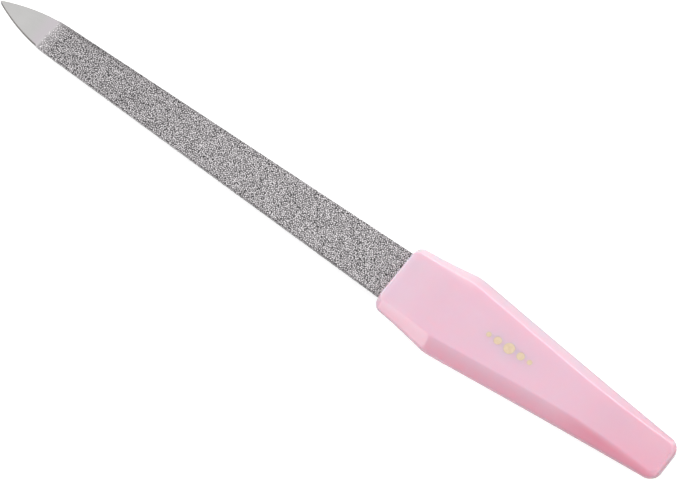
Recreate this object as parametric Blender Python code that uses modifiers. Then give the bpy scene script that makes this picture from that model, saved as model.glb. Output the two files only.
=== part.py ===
"""Nail file: a pointed steel blade with a bonded abrasive coat, its tang held in a moulded handle.

The file lies flat along X. The point is at -X, the end of the handle at +X, and +Z is up.
The origin is under the middle of the whole length, level with the flat underside of the handle.
"""

import math

import bmesh
import bpy

# Blade, in metres. Its widths are those of the bare steel.
BLADE_EXPOSED_LENGTH = 0.0906
BLADE_THICKNESS = 0.0009
BLADE_MOUTH_WIDTH = 0.01008
OGIVE_LENGTH = 0.0126
OGIVE_WIDTH = 0.00648
OGIVE_POWER = 1.9
NOSE_LENGTH = 0.00030
NOSE_WIDTH = 0.00034
NOSE_STEPS = 5
OGIVE_STEPS = 12

# Tang, the narrow end of the same steel inside the handle.
SHOULDER_DEPTH = 0.0022
TANG_DEPTH = 0.0500
TANG_MOUTH_WIDTH = 0.0082
TANG_END_WIDTH = 0.0036
TANG_END_ROUND = 0.0006
KEY_HOLE_DIAMETER = 0.0030
KEY_HOLE_DEPTH = 0.0120
HOLE_STEPS = 32

# Abrasive coat round the blade, from a slanted line behind the point into the handle's mouth.
COAT_THICKNESS = 0.00006
COAT_BOND_GAP = 0.00002
COAT_START = 0.0111
COAT_START_SLANT = 0.0006
COAT_SEAT_DEPTH = 0.0015

# Handle: lengths are measured from its front face.
HANDLE_LENGTH = 0.0594
HANDLE_WIDEST_AT = 0.0123
HANDLE_FLAT_END_AT = 0.0308
HANDLE_FRONT_WIDTH = 0.01388
HANDLE_WIDEST_WIDTH = 0.01732
HANDLE_END_WIDTH = 0.00816
HANDLE_FRONT_HOLLOW = 0.00019
HANDLE_REAR_HOLLOW = 0.00013
HANDLE_WIDEST_EASE = 0.00014
HANDLE_FRONT_THICKNESS = 0.0040
HANDLE_THICKNESS = 0.0060
HANDLE_END_THICKNESS = 0.0020
HANDLE_RIM_HEIGHT = 0.0011
FRONT_CORNER_RADIUS = 0.0014
END_CORNER_RADIUS = 0.0017
FRONT_SIDE_BEVEL = 0.0013
WIDEST_SIDE_BEVEL = 0.0023
END_BEVEL = 0.0007
FRONT_EDGE_ROUND = 0.0006
SIDE_EDGE_ROUND = 0.0003
END_EDGE_ROUND = 0.0002
CORNER_STEPS = 8
FRONT_SIDE_STEPS = 12
REAR_SIDE_STEPS = 24
EDGE_STEPS = 3

# Socket moulded round the coated blade and its tang.
MOUTH_CLEARANCE = 0.00005
TANG_CLEARANCE = 0.00010
KEY_CLEARANCE = 0.00015
CUT_OVERRUN = 0.0010

# Gold dots pressed into the top of the handle.
DOT_DIAMETERS = (0.0010, 0.0015, 0.0021, 0.0015, 0.0010)
DOT_GAP = 0.0007
DOT_ROW_AT = 0.0249
DOT_THICKNESS = 0.00010
DOT_CLEARANCE = 0.00003
DOT_STEPS = 40

MIRROR_MERGE = 0.00001
WELD_DISTANCE = 0.0000005

# Edges that turn by more than this are shaded sharp.
SHARP_TURN = math.radians(20)

# Places that follow from the sizes above.
TIP_X = -(BLADE_EXPOSED_LENGTH + HANDLE_LENGTH) / 2
MOUTH_X = TIP_X + BLADE_EXPOSED_LENGTH
MIDDLE_Z = HANDLE_THICKNESS / 2
COAT_OFFSET = COAT_BOND_GAP + COAT_THICKNESS
TOP_ABOVE_MIDDLE = HANDLE_THICKNESS / 2


def clear_scene():
    """Remove every object of the scene."""
    for item in list(bpy.data.objects):
        bpy.data.objects.remove(item, do_unlink=True)


def add_collection(name):
    """A new collection under the scene's own."""
    collection = bpy.data.collections.new(name)
    bpy.context.scene.collection.children.link(collection)
    return collection


def add_material(name, colour, roughness, metallic):
    """A Principled material with one colour."""
    material = bpy.data.materials.new(name)
    material.use_nodes = True
    shader = material.node_tree.nodes["Principled BSDF"]
    shader.inputs["Base Color"].default_value = (*colour, 1)
    shader.inputs["Roughness"].default_value = roughness
    shader.inputs["Metallic"].default_value = metallic
    return material


def add_object(name, mesh, collection, parent=None, location=(0, 0, 0), material=None):
    """An object in the collection, placed under its parent."""
    item = bpy.data.objects.new(name, mesh)
    collection.objects.link(item)
    item.parent = parent
    item.location = location
    if material:
        mesh.materials.append(material)
    return item


def add_cutter(name, mesh, collection, parent, location=(0, 0, 0)):
    """A hidden helper that a Boolean cuts with."""
    item = add_object(name, mesh, collection, parent, location)
    item.hide_render = True
    item.display_type = "WIRE"
    return item


def shade_round(mesh):
    """Shade the mesh's curved faces smooth and keep its real edges sharp."""
    mesh.shade_smooth()
    mesh.set_sharp_from_angle(angle=SHARP_TURN)


def cut_with(item, cutter):
    """Cut the helper's shape out of the item."""
    cut = item.modifiers.new(cutter.name, "BOOLEAN")
    cut.operation = "DIFFERENCE"
    cut.solver = "EXACT"
    cut.object = cutter


def flat_plate_mesh(name, outlines, thickness):
    """A plate of this thickness about Z = 0: the first outline is its rim, the others are holes."""
    curve = bpy.data.curves.new(name, "CURVE")
    curve.dimensions = "2D"
    curve.fill_mode = "BOTH"
    curve.extrude = thickness / 2
    for outline in outlines:
        spline = curve.splines.new("POLY")
        spline.points.add(len(outline) - 1)
        for point, (x, y) in zip(spline.points, outline):
            point.co = (x, y, 0, 1)
        spline.use_cyclic_u = True
    drawn = bpy.data.objects.new(name, curve)
    bpy.context.scene.collection.objects.link(drawn)
    bpy.context.view_layer.update()
    graph = bpy.context.evaluated_depsgraph_get()
    mesh = bpy.data.meshes.new_from_object(drawn.evaluated_get(graph))
    bpy.data.objects.remove(drawn, do_unlink=True)
    shape = bmesh.new()
    shape.from_mesh(mesh)
    bmesh.ops.remove_doubles(shape, verts=shape.verts, dist=WELD_DISTANCE)
    bmesh.ops.recalc_face_normals(shape, faces=shape.faces)
    shape.to_mesh(mesh)
    shape.free()
    shade_round(mesh)
    return mesh


def ring(centre_x, radius, steps):
    """A circle in the XY plane, about a point on the X axis."""
    turns = [2 * math.pi * step / steps for step in range(steps)]
    return [(centre_x + radius * math.cos(turn), radius * math.sin(turn)) for turn in turns]


def both_sides(side):
    """A closed outline from one side's points, which run from low to high X."""
    return side + [(x, -y) for x, y in reversed(side) if y > 0]


# The blade's outlines have X = 0 at the point.


def blade_half_width(x):
    """Half the steel's width: a straight taper, drawn in along the ogive and rounded at the nose."""
    slope = (BLADE_MOUTH_WIDTH - OGIVE_WIDTH) / 2 / (BLADE_EXPOSED_LENGTH - OGIVE_LENGTH)
    taper = OGIVE_WIDTH / 2 + slope * (x - OGIVE_LENGTH)
    if x >= OGIVE_LENGTH:
        return taper
    drop = (OGIVE_WIDTH - NOSE_WIDTH) / 2 - slope * OGIVE_LENGTH
    drawn_in = taper - drop * ((OGIVE_LENGTH - x) / OGIVE_LENGTH) ** OGIVE_POWER
    if x >= NOSE_LENGTH:
        return drawn_in
    return drawn_in * math.sqrt(1 - (1 - x / NOSE_LENGTH) ** 2)


def blade_stations(start, end):
    """The X of each point along one side of the blade, from start to end."""
    turns = [math.pi / 2 * step / NOSE_STEPS for step in range(NOSE_STEPS)]
    nose = [NOSE_LENGTH * (1 - math.cos(turn)) for turn in turns]
    run = OGIVE_LENGTH - NOSE_LENGTH
    ogive = [NOSE_LENGTH + run * step / OGIVE_STEPS for step in range(OGIVE_STEPS + 1)]
    return [start] + [x for x in nose + ogive if start < x < end] + [end]


def blade_side(start, end, offset=0.0):
    """One side of the blade from start to end, moved outwards by the offset."""
    return [(x, blade_half_width(x) + (offset if x > 0 else 0)) for x in blade_stations(start, end)]


def tang_side(start, offset=0.0):
    """One side of the tang from a start near the shoulders, moved outwards by the offset."""
    shoulder = BLADE_EXPOSED_LENGTH + SHOULDER_DEPTH
    end = BLADE_EXPOSED_LENGTH + TANG_DEPTH + offset
    slope = (TANG_END_WIDTH - TANG_MOUTH_WIDTH) / 2 / (TANG_DEPTH - SHOULDER_DEPTH)
    corner = TANG_END_WIDTH / 2 + offset
    side = [(start, TANG_MOUTH_WIDTH / 2 + offset + slope * (start - shoulder))]
    turns = [math.pi / 2 * step / NOSE_STEPS for step in range(NOSE_STEPS + 1)]
    for turn in turns:
        x = end - TANG_END_ROUND * (1 - math.sin(turn))
        side.append((x, corner - TANG_END_ROUND * (1 - math.cos(turn))))
    return side


def blade_mesh():
    """The steel: point, tapered blade, shoulders, and the tang with its key hole."""
    shoulder = BLADE_EXPOSED_LENGTH + SHOULDER_DEPTH
    rim = both_sides(blade_side(0, shoulder) + tang_side(shoulder))
    key_hole = ring(BLADE_EXPOSED_LENGTH + KEY_HOLE_DEPTH, KEY_HOLE_DIAMETER / 2, HOLE_STEPS)
    return flat_plate_mesh("blade", [rim, key_hole], BLADE_THICKNESS)


def coat_mesh():
    """The coat's outer block. Its front line is slanted, so its two sides start apart."""
    end = BLADE_EXPOSED_LENGTH + COAT_SEAT_DEPTH
    far_side = blade_side(COAT_START + COAT_START_SLANT / 2, end, COAT_OFFSET)
    near_side = blade_side(COAT_START - COAT_START_SLANT / 2, end, COAT_OFFSET)
    rim = far_side + [(x, -y) for x, y in reversed(near_side)]
    return flat_plate_mesh("grit_coat", [rim], BLADE_THICKNESS + 2 * COAT_OFFSET)


def coat_core_mesh():
    """What is cut out of the coat: the blade with the bond's gap all round it."""
    end = BLADE_EXPOSED_LENGTH + COAT_SEAT_DEPTH + CUT_OVERRUN
    rim = both_sides(blade_side(0, end, COAT_BOND_GAP))
    return flat_plate_mesh("coat_core", [rim], BLADE_THICKNESS + 2 * COAT_BOND_GAP)


def mouth_mesh():
    """The wide start of the handle's socket, round the coated blade and its shoulders."""
    start = BLADE_EXPOSED_LENGTH - CUT_OVERRUN
    end = BLADE_EXPOSED_LENGTH + SHOULDER_DEPTH + MOUTH_CLEARANCE
    rim = both_sides(blade_side(start, end, COAT_OFFSET + MOUTH_CLEARANCE))
    return flat_plate_mesh("mouth", [rim], BLADE_THICKNESS + 2 * (COAT_OFFSET + MOUTH_CLEARANCE))


def tang_socket_mesh():
    """The narrow socket of the tang. Its hole leaves the key standing in the handle."""
    rim = both_sides(tang_side(BLADE_EXPOSED_LENGTH + COAT_SEAT_DEPTH, TANG_CLEARANCE))
    key_radius = KEY_HOLE_DIAMETER / 2 - KEY_CLEARANCE
    key = ring(BLADE_EXPOSED_LENGTH + KEY_HOLE_DEPTH, key_radius, HOLE_STEPS)
    return flat_plate_mesh("tang_socket", [rim, key], BLADE_THICKNESS + 2 * TANG_CLEARANCE)


# The handle's outlines have X = 0 at its front face, and Z = 0 at its middle plane.


def hollow_line(x, start, end, hollow):
    """A slightly hollow line through two (x, y) points: the height of a shallow parabola at x."""
    share = (x - start[0]) / (end[0] - start[0])
    return start[1] + (end[1] - start[1]) * share - hollow * 4 * share * (1 - share)


def handle_half_width(x):
    """Half the handle's width at its rim. The two sides' lines meet in an eased widest point."""
    widest = (HANDLE_WIDEST_AT, HANDLE_WIDEST_WIDTH / 2)
    front = hollow_line(x, (0, HANDLE_FRONT_WIDTH / 2), widest, HANDLE_FRONT_HOLLOW)
    rear = hollow_line(x, widest, (HANDLE_LENGTH, HANDLE_END_WIDTH / 2), HANDLE_REAR_HOLLOW)
    if x < HANDLE_WIDEST_AT:
        rear = widest[1] + (widest[1] - HANDLE_FRONT_WIDTH / 2) * (1 - x / HANDLE_WIDEST_AT)
    else:
        front = widest[1] + (widest[1] - HANDLE_FRONT_WIDTH / 2) * (x / HANDLE_WIDEST_AT - 1)
    middle = (front + rear) / 2
    return middle - math.hypot((front - rear) / 2, HANDLE_WIDEST_EASE)


def handle_half_thickness(x):
    """Half the handle's thickness: a rising front, a flat stretch, then an arc down to the end."""
    front, full, end = (HANDLE_FRONT_THICKNESS / 2, HANDLE_THICKNESS / 2, HANDLE_END_THICKNESS / 2)
    if x < HANDLE_WIDEST_AT:
        return front + (full - front) * x / HANDLE_WIDEST_AT
    if x < HANDLE_FLAT_END_AT:
        return full
    share = (x - HANDLE_FLAT_END_AT) / (HANDLE_LENGTH - HANDLE_FLAT_END_AT)
    return full - (full - end) * share**2


def bevel_rise(x):
    """Height of the bevel between the rim and the top."""
    return handle_half_thickness(x) - HANDLE_RIM_HEIGHT / 2


def side_bevel(x):
    """Width of the side bevel in plan. Behind the widest point it keeps one angle."""
    if x < HANDLE_WIDEST_AT:
        growth = WIDEST_SIDE_BEVEL - FRONT_SIDE_BEVEL
        return FRONT_SIDE_BEVEL + growth * x / HANDLE_WIDEST_AT
    return WIDEST_SIDE_BEVEL * bevel_rise(x) / bevel_rise(HANDLE_WIDEST_AT)


def rounded_edge(run, rise, edge_round, share):
    """A point (inset, height) of the rounded edge at the top of a bevel, for a share from 0 to 1."""
    length = math.hypot(run, rise)
    start = (run - edge_round * run / length, rise - edge_round * rise / length)
    end = (run + edge_round, rise)
    weights = ((1 - share) ** 2, 2 * share * (1 - share), share**2)
    points = (start, (run, rise), end)
    return tuple(sum(w * p[axis] for w, p in zip(weights, points)) for axis in (0, 1))


def corner_arc(centre_x, centre_y, radius, first_turn, last_turn):
    """Points of an arc, without its ends."""
    turns = [
        first_turn + (last_turn - first_turn) * step / CORNER_STEPS for step in range(1, CORNER_STEPS)
    ]
    return [(centre_x + radius * math.cos(t), centre_y + radius * math.sin(t)) for t in turns]


def handle_line(share, height_share):
    """One line round a quarter of the handle, from the front's middle to the end's middle.

    share is the place across the rounded top edge, or None for the rim. height_share
    multiplies the heights of a rim line.
    """

    def inset_and_height(run, rise, edge_round):
        if share is None:
            return 0.0, HANDLE_RIM_HEIGHT / 2 * height_share
        inset, height = rounded_edge(run, rise, edge_round, share)
        return inset, HANDLE_RIM_HEIGHT / 2 + height

    def side_point(x):
        inset, height = inset_and_height(side_bevel(x), bevel_rise(x), SIDE_EDGE_ROUND)
        return x, handle_half_width(x) - inset, height

    front_inset, front_height = inset_and_height(0.0, bevel_rise(0.0), FRONT_EDGE_ROUND)
    end_inset, end_height = inset_and_height(END_BEVEL, bevel_rise(HANDLE_LENGTH), END_EDGE_ROUND)
    front_radius = max(FRONT_CORNER_RADIUS - front_inset, FRONT_CORNER_RADIUS / 2)
    end_radius = max(END_CORNER_RADIUS - end_inset, END_CORNER_RADIUS / 2)
    front_x, end_x = front_inset, HANDLE_LENGTH - end_inset
    side_start, side_end = front_x + front_radius, end_x - end_radius

    first, last = side_point(side_start), side_point(side_end)
    line = [(front_x, 0.0, front_height), (front_x, first[1] - front_radius, front_height)]
    arc = corner_arc(side_start, first[1] - front_radius, front_radius, math.pi, math.pi / 2)
    for step, (x, y) in enumerate(arc, 1):
        blend = step / CORNER_STEPS
        line.append((x, y, front_height + (first[2] - front_height) * blend))
    for step in range(FRONT_SIDE_STEPS):
        line.append(side_point(side_start + (HANDLE_WIDEST_AT - side_start) * step / FRONT_SIDE_STEPS))
    for step in range(REAR_SIDE_STEPS + 1):
        line.append(side_point(HANDLE_WIDEST_AT + (side_end - HANDLE_WIDEST_AT) * step / REAR_SIDE_STEPS))
    arc = corner_arc(side_end, last[1] - end_radius, end_radius, math.pi / 2, 0.0)
    for step, (x, y) in enumerate(arc, 1):
        blend = step / CORNER_STEPS
        line.append((x, y, last[2] + (end_height - last[2]) * blend))
    line += [(end_x, last[1] - end_radius, end_height), (end_x, 0.0, end_height)]
    return line


def handle_mesh():
    """A quarter of the handle's skin, lofted through its lines. Mirrors make the rest."""
    lines = [handle_line(None, 0), handle_line(None, 1)]
    lines += [handle_line(step / EDGE_STEPS, 1) for step in range(EDGE_STEPS + 1)]
    shape = bmesh.new()
    rows = [[shape.verts.new(point) for point in line] for line in lines]
    rows.append([shape.verts.new((x, 0, z)) for x, _, z in lines[-1][1:-1]])
    for lower, upper in zip(rows[:-2], rows[1:-1]):
        for index in range(len(lower) - 1):
            shape.faces.new((lower[index], upper[index], upper[index + 1], lower[index + 1]))
    rim, middle = rows[-2], [rows[-2][0], *rows[-1], rows[-2][-1]]
    for index in range(1, len(rim) - 2):
        shape.faces.new((rim[index], middle[index], middle[index + 1], rim[index + 1]))
    shape.faces.new((rim[0], rim[1], middle[1]))
    shape.faces.new((rim[-2], rim[-1], middle[-2]))
    bmesh.ops.remove_doubles(shape, verts=shape.verts, dist=WELD_DISTANCE)
    bmesh.ops.recalc_face_normals(shape, faces=shape.faces)
    mesh = bpy.data.meshes.new("handle")
    shape.to_mesh(mesh)
    shape.free()
    shade_round(mesh)
    return mesh


def dot_places():
    """(x, diameter) of each gold dot, with X = 0 at the handle's front face."""
    length = sum(DOT_DIAMETERS) + DOT_GAP * (len(DOT_DIAMETERS) - 1)
    x = DOT_ROW_AT - length / 2
    places = []
    for diameter in DOT_DIAMETERS:
        places.append((x + diameter / 2, diameter))
        x += diameter + DOT_GAP
    return places


def disc_mesh(name, discs, bottom, top):
    """Upright discs, given as (x, diameter), between two heights."""
    shape = bmesh.new()
    for x, diameter in discs:
        made = bmesh.ops.create_cone(
            shape,
            cap_ends=True,
            segments=DOT_STEPS,
            radius1=diameter / 2,
            radius2=diameter / 2,
            depth=top - bottom,
        )
        bmesh.ops.translate(shape, verts=made["verts"], vec=(x, 0, (top + bottom) / 2))
    mesh = bpy.data.meshes.new(name)
    shape.to_mesh(mesh)
    shape.free()
    shade_round(mesh)
    return mesh


def add_blade(parts, cutters, root, steel, grit):
    """The steel blade and the coat bonded round it."""
    place = (TIP_X, 0, MIDDLE_Z)
    add_object("blade", blade_mesh(), parts, root, place, steel)
    coat = add_object("grit_coat", coat_mesh(), parts, root, place, grit)
    cut_with(coat, add_cutter("coat_core", coat_core_mesh(), cutters, root, place))


def add_handle(parts, cutters, root, plastic):
    """The one-piece handle with its socket, its key and the recesses of the dots."""
    handle = add_object("handle", handle_mesh(), parts, root, (MOUTH_X, 0, MIDDLE_Z), plastic)
    mirror = handle.modifiers.new("both_halves", "MIRROR")
    mirror.use_axis = (False, True, True)
    mirror.merge_threshold = MIRROR_MERGE
    blade_place = (TIP_X, 0, MIDDLE_Z)
    cut_with(handle, add_cutter("mouth", mouth_mesh(), cutters, root, blade_place))
    cut_with(handle, add_cutter("tang_socket", tang_socket_mesh(), cutters, root, blade_place))
    recess = [(x, diameter + 2 * DOT_CLEARANCE) for x, diameter in dot_places()]
    floor = TOP_ABOVE_MIDDLE - DOT_THICKNESS - DOT_CLEARANCE
    recess_mesh = disc_mesh("dot_recess", recess, floor, TOP_ABOVE_MIDDLE + CUT_OVERRUN)
    cut_with(handle, add_cutter("dot_recess", recess_mesh, cutters, root, handle.location))
    return handle


def add_dots(parts, handle, foil):
    """The gold dots, each in its own recess, level with the handle's top."""
    for number, (x, diameter) in enumerate(dot_places(), 1):
        mesh = disc_mesh("gold_dot", [(0, diameter)], -DOT_THICKNESS, 0)
        add_object(f"gold_dot_{number}", mesh, parts, handle, (x, 0, TOP_ABOVE_MIDDLE), foil)


def main():
    """Model the nail file."""
    clear_scene()
    parts = add_collection("nail_file")
    cutters = add_collection("cutters")
    root = bpy.data.objects.new("nail_file_root", None)
    parts.objects.link(root)
    steel = add_material("satin_steel", (0.56, 0.56, 0.55), 0.35, 1.0)
    grit = add_material("abrasive_grit", (0.33, 0.31, 0.32), 0.55, 0.6)
    plastic = add_material("pearl_pink_plastic", (0.87, 0.55, 0.66), 0.28, 0.0)
    foil = add_material("gold_foil", (0.83, 0.68, 0.40), 0.30, 1.0)
    add_blade(parts, cutters, root, steel, grit)
    handle = add_handle(parts, cutters, root, plastic)
    add_dots(parts, handle, foil)


main()
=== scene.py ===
"""A pointed nail file: a steel blade with a bonded grit coat, in a moulded pearl pink handle.

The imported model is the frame. The blade's point is at -X, the end of the handle at +X, +Z is
up, and the file lies on Z = 0. Lengths are in metres and colours are written as they render.
"""

import logging
import math
from dataclasses import dataclass
from enum import Enum
from functools import reduce
from typing import Any, ClassVar

import bmesh
import bpy
from mathutils import Matrix, Vector


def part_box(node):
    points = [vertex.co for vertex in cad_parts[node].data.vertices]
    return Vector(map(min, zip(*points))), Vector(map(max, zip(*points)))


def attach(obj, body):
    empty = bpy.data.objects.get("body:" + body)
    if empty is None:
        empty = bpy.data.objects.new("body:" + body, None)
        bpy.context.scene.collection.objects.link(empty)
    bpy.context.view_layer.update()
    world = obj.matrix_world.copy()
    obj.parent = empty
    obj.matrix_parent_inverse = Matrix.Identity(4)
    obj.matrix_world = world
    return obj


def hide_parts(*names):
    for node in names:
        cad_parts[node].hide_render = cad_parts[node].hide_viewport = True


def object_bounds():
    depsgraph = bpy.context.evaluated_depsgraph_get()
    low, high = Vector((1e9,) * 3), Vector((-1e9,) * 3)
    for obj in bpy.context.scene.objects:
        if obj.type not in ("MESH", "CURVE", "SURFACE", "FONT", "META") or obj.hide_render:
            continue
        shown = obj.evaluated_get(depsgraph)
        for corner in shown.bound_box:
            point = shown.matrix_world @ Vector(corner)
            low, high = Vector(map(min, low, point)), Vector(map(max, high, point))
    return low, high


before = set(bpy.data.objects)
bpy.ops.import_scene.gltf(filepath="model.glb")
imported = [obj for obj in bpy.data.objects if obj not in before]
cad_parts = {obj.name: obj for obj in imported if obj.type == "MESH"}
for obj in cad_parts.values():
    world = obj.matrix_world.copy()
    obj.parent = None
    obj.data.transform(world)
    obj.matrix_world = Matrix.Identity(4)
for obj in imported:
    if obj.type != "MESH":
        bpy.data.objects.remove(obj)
CAD_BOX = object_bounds()

LOG = logging.getLogger("nail_file")
WELD_DISTANCE = 0.0000005
PLATE_TURN = math.radians(38)
WHITE = (1, 1, 1, 1)
AIM = (0.00307, -0.00040)  # the X and Y that the middle of the photograph shows

Point2 = tuple[float, float]
Point3 = tuple[float, float, float]
Span = tuple[float, float]


class Slot(Enum):
    """The record's material slots."""

    STEEL = "satin_steel"
    GRIT = "abrasive_grit"
    PLASTIC = "pearl_pink_plastic"
    FOIL = "gold_foil"


class Side(Enum):
    """The way that each part of the coat's skin faces."""

    TOP = (0.0, 0.0, 1.0)
    UNDER = (0.0, 0.0, -1.0)
    LEFT = (0.0, 1.0, 0.0)
    RIGHT = (0.0, -1.0, 0.0)


# Node graphs


def tint(code: str) -> tuple[float, float, float, float]:
    """A linear colour from its six-digit screen code.

    Args:
        code: Two hexadecimal digits each for red, green and blue.

    Returns:
        The linear colour, with an alpha of 1.
    """
    shares = [int(code[place : place + 2], 16) / 255 for place in (0, 2, 4)]
    red, green, blue = (s / 12.92 if s <= 0.04045 else ((s + 0.055) / 1.055) ** 2.4 for s in shares)
    return red, green, blue, 1.0


class Signal:
    """A number that varies over a surface. Its operators add Math nodes to its graph."""

    def __init__(self, graph: "Graph", socket: bpy.types.NodeSocket) -> None:
        """Wrap an output socket of the graph."""
        self.graph = graph
        self.socket = socket

    def _join(self, operation: str, first: Any, second: Any) -> "Signal":
        """Add one Math node.

        Args:
            operation: The operation of the node.
            first: Its first value, a number or a signal.
            second: Its second value.

        Returns:
            The node's result.
        """
        node = self.graph.add("ShaderNodeMath", {"operation": operation}, {0: first, 1: second})
        return Signal(self.graph, node.outputs[0])

    def __add__(self, other: Any) -> "Signal":
        """This plus the other."""
        return self._join("ADD", self, other)

    def __radd__(self, other: Any) -> "Signal":
        """The other plus this."""
        return self._join("ADD", other, self)

    def __sub__(self, other: Any) -> "Signal":
        """This minus the other."""
        return self._join("SUBTRACT", self, other)

    def __rsub__(self, other: Any) -> "Signal":
        """The other minus this."""
        return self._join("SUBTRACT", other, self)

    def __mul__(self, other: Any) -> "Signal":
        """This times the other."""
        return self._join("MULTIPLY", self, other)

    def __rmul__(self, other: Any) -> "Signal":
        """The other times this."""
        return self._join("MULTIPLY", other, self)

    def __truediv__(self, other: Any) -> "Signal":
        """This divided by the other."""
        return self._join("DIVIDE", self, other)

    def __abs__(self) -> "Signal":
        """This without its sign."""
        return self._join("ABSOLUTE", self, 0.0)

    def above(self, other: Any) -> "Signal":
        """The larger of this and the other."""
        return self._join("MAXIMUM", self, other)

    def below(self, other: Any) -> "Signal":
        """The smaller of this and the other."""
        return self._join("MINIMUM", self, other)

    def between(self, start: Any, end: Any) -> "Signal":
        """From the start, where this is 0, evenly to the end, where it is 1."""
        return start + (end - start) * self

    def ramp(self, start: float, end: float) -> "Signal":
        """A smooth step, up or down the scale.

        Args:
            start: Where the step is still 0.
            end: Where it reaches 1, which may be the lower of the two.

        Returns:
            A number from 0 to 1.
        """
        inputs = {"Value": self, "From Min": start, "From Max": end}
        node = self.graph.add("ShaderNodeMapRange", {"interpolation_type": "SMOOTHSTEP"}, inputs)
        return Signal(self.graph, node.outputs["Result"])


class Graph:
    """A node tree that is filled by short calls."""

    def __init__(self, tree: bpy.types.NodeTree) -> None:
        """Wrap the tree."""
        self.tree = tree

    def fill(self, node: bpy.types.Node, inputs: dict[int | str, Any]) -> None:
        """Give some of a node's input sockets their values.

        Args:
            node: The node.
            inputs: The values, by the socket's name or place. A signal or an output socket is
                linked, and a plain value is set.
        """
        for place, value in inputs.items():
            value = value.socket if isinstance(value, Signal) else value
            if isinstance(value, bpy.types.NodeSocket):
                self.tree.links.new(value, node.inputs[place])
            else:
                node.inputs[place].default_value = value

    def add(
        self,
        kind: str,
        settings: dict[str, Any] | None = None,
        inputs: dict[int | str, Any] | None = None,
    ) -> bpy.types.Node:
        """Add a node.

        Args:
            kind: The node's type name.
            settings: Its properties, which are set first.
            inputs: The values or links of its input sockets, by name or place.

        Returns:
            The new node.
        """
        node = self.tree.nodes.new(kind)
        for name, value in (settings or {}).items():
            setattr(node, name, value)
        self.fill(node, inputs or {})
        return node

    def blend(self, share: Any, first: Any, second: Any) -> bpy.types.NodeSocket:
        """Mix two colours.

        Args:
            share: How much of the second there is, from 0 to 1.
            first: The first colour, a socket or a screen code.
            second: The second colour.

        Returns:
            The socket of the mixed colour.
        """
        first, second = (tint(colour) if isinstance(colour, str) else colour for colour in (first, second))
        settings = {"data_type": "RGBA", "clamp_factor": True}
        return self.add("ShaderNodeMix", settings, {0: share, 6: first, 7: second}).outputs[2]

    def bump(self, strength: float, relief: float, height: Signal) -> bpy.types.NodeSocket:
        """The normal of a relief, from its strength, its depth in metres and its height."""
        inputs = {"Strength": strength, "Distance": relief, "Height": height}
        return self.add("ShaderNodeBump", inputs=inputs).outputs[0]

    def split(self, vector: bpy.types.NodeSocket) -> tuple[Signal, Signal, Signal]:
        """The X, Y and Z of a vector."""
        outputs = self.add("ShaderNodeSeparateXYZ", inputs={0: vector}).outputs
        return tuple(Signal(self, outputs[axis]) for axis in ("X", "Y", "Z"))

    def place(self) -> tuple[Signal, Signal, Signal]:
        """The X, Y and Z of the point that is shaded, in the object's own space."""
        return self.split(self.add("ShaderNodeTexCoord").outputs["Object"])

    def noise(self, cell: float, stretch: Point3 = (1, 1, 1), detail: float = 2, seed: float = 0) -> Signal:
        """Smooth noise over the object's own space.

        Args:
            cell: The size of its patches.
            stretch: How much longer the patches are along each axis.
            detail: How many finer layers it has.
            seed: Another number gives another pattern.

        Returns:
            A number round 0, from about -0.5 to 0.5.
        """
        where = self.add("ShaderNodeTexCoord").outputs["Object"]
        scale = tuple(1 / (cell * axis) for axis in stretch)
        moved = self.add("ShaderNodeMapping", inputs={"Vector": where, "Scale": scale})
        settings = {"noise_dimensions": "4D"}
        inputs = {"Vector": moved.outputs[0], "W": seed, "Scale": 1.0, "Detail": detail}
        return Signal(self, self.add("ShaderNodeTexNoise", settings, inputs).outputs["Fac"]) - 0.5


# Finishes


@dataclass(frozen=True)
class Finish:
    """A material with the record's slot that it stands for."""

    name: str
    slot: Slot

    def material(self) -> bpy.types.Material:
        """Make the material.

        Returns:
            The material, with its shader dressed.
        """
        material = bpy.data.materials.new(self.name)
        material.use_nodes = True
        graph = Graph(material.node_tree)
        graph.fill(material.node_tree.nodes["Principled BSDF"], self.looks(graph))
        return material

    def looks(self, graph: Graph) -> dict[str, Any]:
        """Say how the surface looks.

        Args:
            graph: The material's node graph.

        Returns:
            The values and links of the shader's inputs, by name.
        """
        raise NotImplementedError


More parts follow.
